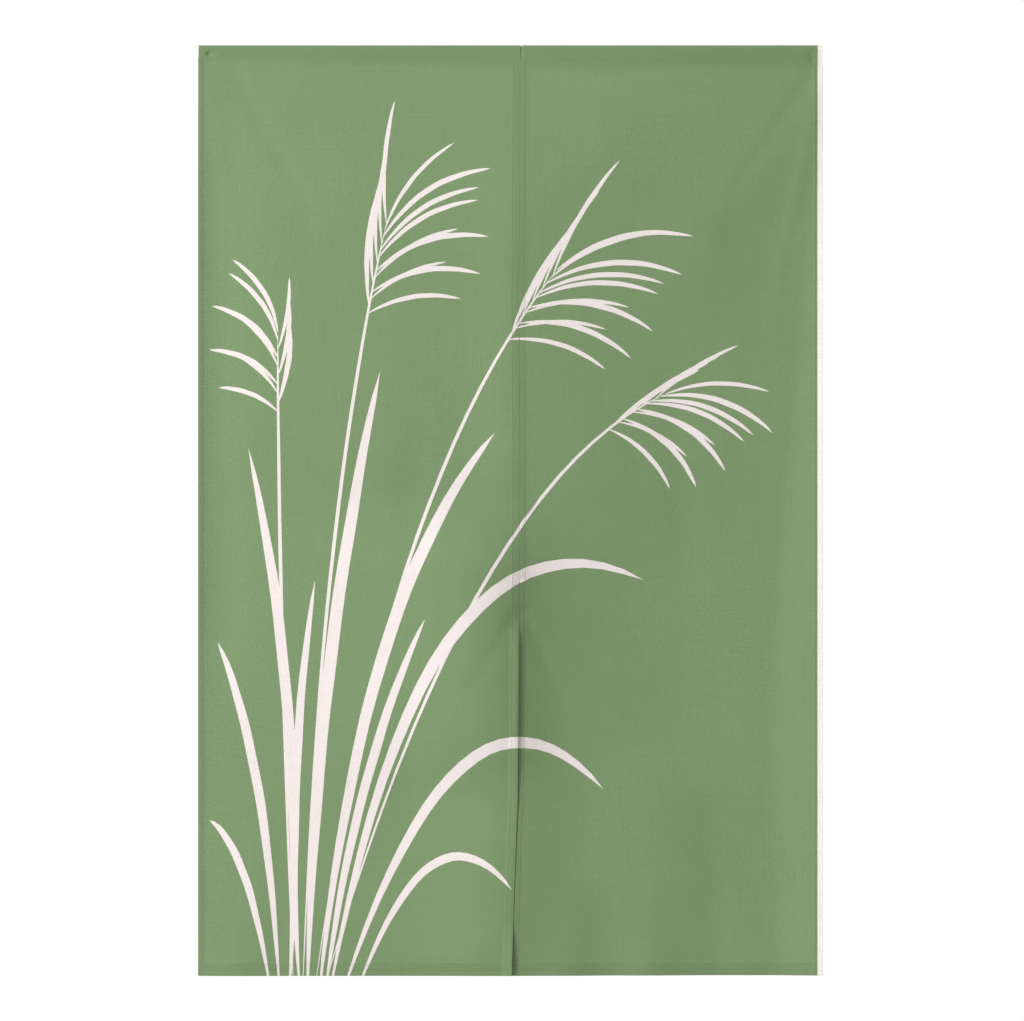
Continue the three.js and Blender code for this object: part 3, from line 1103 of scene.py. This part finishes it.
def make_camera():
    pixel = DROP / CURTAIN_PIXELS
    data = bpy.data.cameras.new("camera")
    data.sensor_width = SENSOR * 1000
    data.lens = SENSOR * 1000 * CAMERA_DISTANCE / (PICTURE_WIDTH * pixel)
    camera = bpy.data.objects.new("camera", data)
    aside = (PICTURE_WIDTH / 2 - CURTAIN_MIDDLE[0]) * pixel
    below = (PICTURE_HEIGHT / 2 - CURTAIN_MIDDLE[1]) * pixel
    camera.location = MIDDLE + Vector((aside, -CAMERA_DISTANCE, -below))
    camera.rotation_euler = (math.pi / 2, 0.0, 0.0)
    bpy.context.scene.collection.objects.link(camera)
    bpy.context.scene.camera = camera


def make_lamps():
    for lamp in LAMPS:
        data = bpy.data.lights.new(lamp.name, "AREA")
        data.size = lamp.size
        data.energy = lamp.power
        made = bpy.data.objects.new(lamp.name, data)
        way = Vector(lamp.way).normalized()
        made.location = MIDDLE + way * lamp.distance
        made.rotation_euler = way.to_track_quat("Z", "Y").to_euler()
        bpy.context.scene.collection.objects.link(made)


def make_world():
    """An even white studio: plain white to look at, dimmer as light so that the lamps give shape."""
    world = bpy.data.worlds.new("studio")
    world.use_nodes = True
    tree = world.node_tree
    tree.nodes.clear()
    path = add_node(tree, "ShaderNodeLightPath")
    light = add_node(tree, "ShaderNodeBackground", {"Color": (1, 1, 1, 1), "Strength": AMBIENT})
    seen = add_node(tree, "ShaderNodeBackground", {"Color": (1, 1, 1, 1), "Strength": 1.0})
    both = add_node(
        tree, "ShaderNodeMixShader",
        {0: path.outputs["Is Camera Ray"], 1: light.outputs[0], 2: seen.outputs[0]})
    add_node(tree, "ShaderNodeOutputWorld", {"Surface": both.outputs[0]})
    bpy.context.scene.world = world


def make_floor(material):
    rim = 96
    turns = [math.tau * i / rim for i in range(rim)]
    height = -DROP - FLOOR_BELOW
    points = [(FLOOR_RADIUS * math.cos(a), FLOOR_RADIUS * math.sin(a), height) for a in turns]
    mesh = bpy.data.meshes.new("floor")
    mesh.from_pydata(points, [], [tuple(range(rim))])
    mesh.materials.append(material)
    floor = bpy.data.objects.new("floor", mesh)
    bpy.context.scene.collection.objects.link(floor)


class NorenStage(bpy.types.Operator):
    """Make the camera, lamps, white surround and pale floor"""

    bl_idname = "noren.stage"
    bl_label = "Studio"

    def execute(self, context):
        context.scene.view_settings.view_transform = "Standard"
        make_camera()
        make_lamps()
        make_world()
        make_floor(painted_floor("painted_studio_floor", context.scene.noren_colours.floor))
        return {"FINISHED"}


class NorenPanels(bpy.types.Operator):
    """Make the two panels of printed cloth with their hems and rod pockets"""

    bl_idname = "noren.panels"
    bl_label = "Cloth panels"

    def execute(self, context):
        colours = context.scene.noren_colours
        materials = [
            woven_cloth("printed_cotton_ground", colours.ground, tone_change=0.05, see_through=0.40),
            woven_cloth("printed_cotton_motif", colours.motif, tone_change=0.03, see_through=0.30),
            woven_cloth("printed_cotton_reverse", colours.reverse, tone_change=0.05, see_through=0.40),
            woven_cloth("bleached_cotton_margin", colours.margin, tone_change=0.03, see_through=0.30),
        ]
        for panel in PANELS:
            panel.cloth = context.scene.noren_cloth
            made = make_panel(panel, materials)
            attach(made, BODY)
            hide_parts(*panel.nodes)
        return {"FINISHED"}


class NorenSewing(bpy.types.Operator):
    """Make the stitches of the hems, pockets and middle seam"""

    bl_idname = "noren.sewing"
    bl_label = "Sewing"

    def execute(self, context):
        material = sewing_thread("spun_polyester_thread", context.scene.noren_colours.thread)
        for panel in PANELS:
            panel.cloth = context.scene.noren_cloth
            sewing = make_sewing(panel, material)
            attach(sewing, BODY)
        return {"FINISHED"}


class NorenSidebar(bpy.types.Panel):
    """The noren's steps and sizes"""

    bl_idname = "VIEW3D_PT_noren"
    bl_label = "Noren"
    bl_space_type = "VIEW_3D"
    bl_region_type = "UI"
    bl_category = "Noren"

    def draw(self, context):
        for step in STEPS:
            self.layout.operator(step.bl_idname)
        for settings in (context.scene.noren_cloth, context.scene.noren_colours):
            for name in settings.bl_rna.properties.keys():
                if name not in ("rna_type", "name"):
                    self.layout.prop(settings, name)


STEPS = (NorenStage, NorenPanels, NorenSewing)
CLASSES = (NorenClothSettings, NorenColourSettings, *STEPS, NorenSidebar)


def register():
    for made in CLASSES:
        bpy.utils.register_class(made)
    bpy.types.Scene.noren_cloth = bpy.props.PointerProperty(type=NorenClothSettings)
    bpy.types.Scene.noren_colours = bpy.props.PointerProperty(type=NorenColourSettings)


def unregister():
    del bpy.types.Scene.noren_colours
    del bpy.types.Scene.noren_cloth
    for made in reversed(CLASSES):
        bpy.utils.unregister_class(made)


def main():
    register()
    bpy.ops.noren.stage()
    bpy.ops.noren.panels()
    bpy.ops.noren.sewing()


if __name__ == "__main__":
    main()
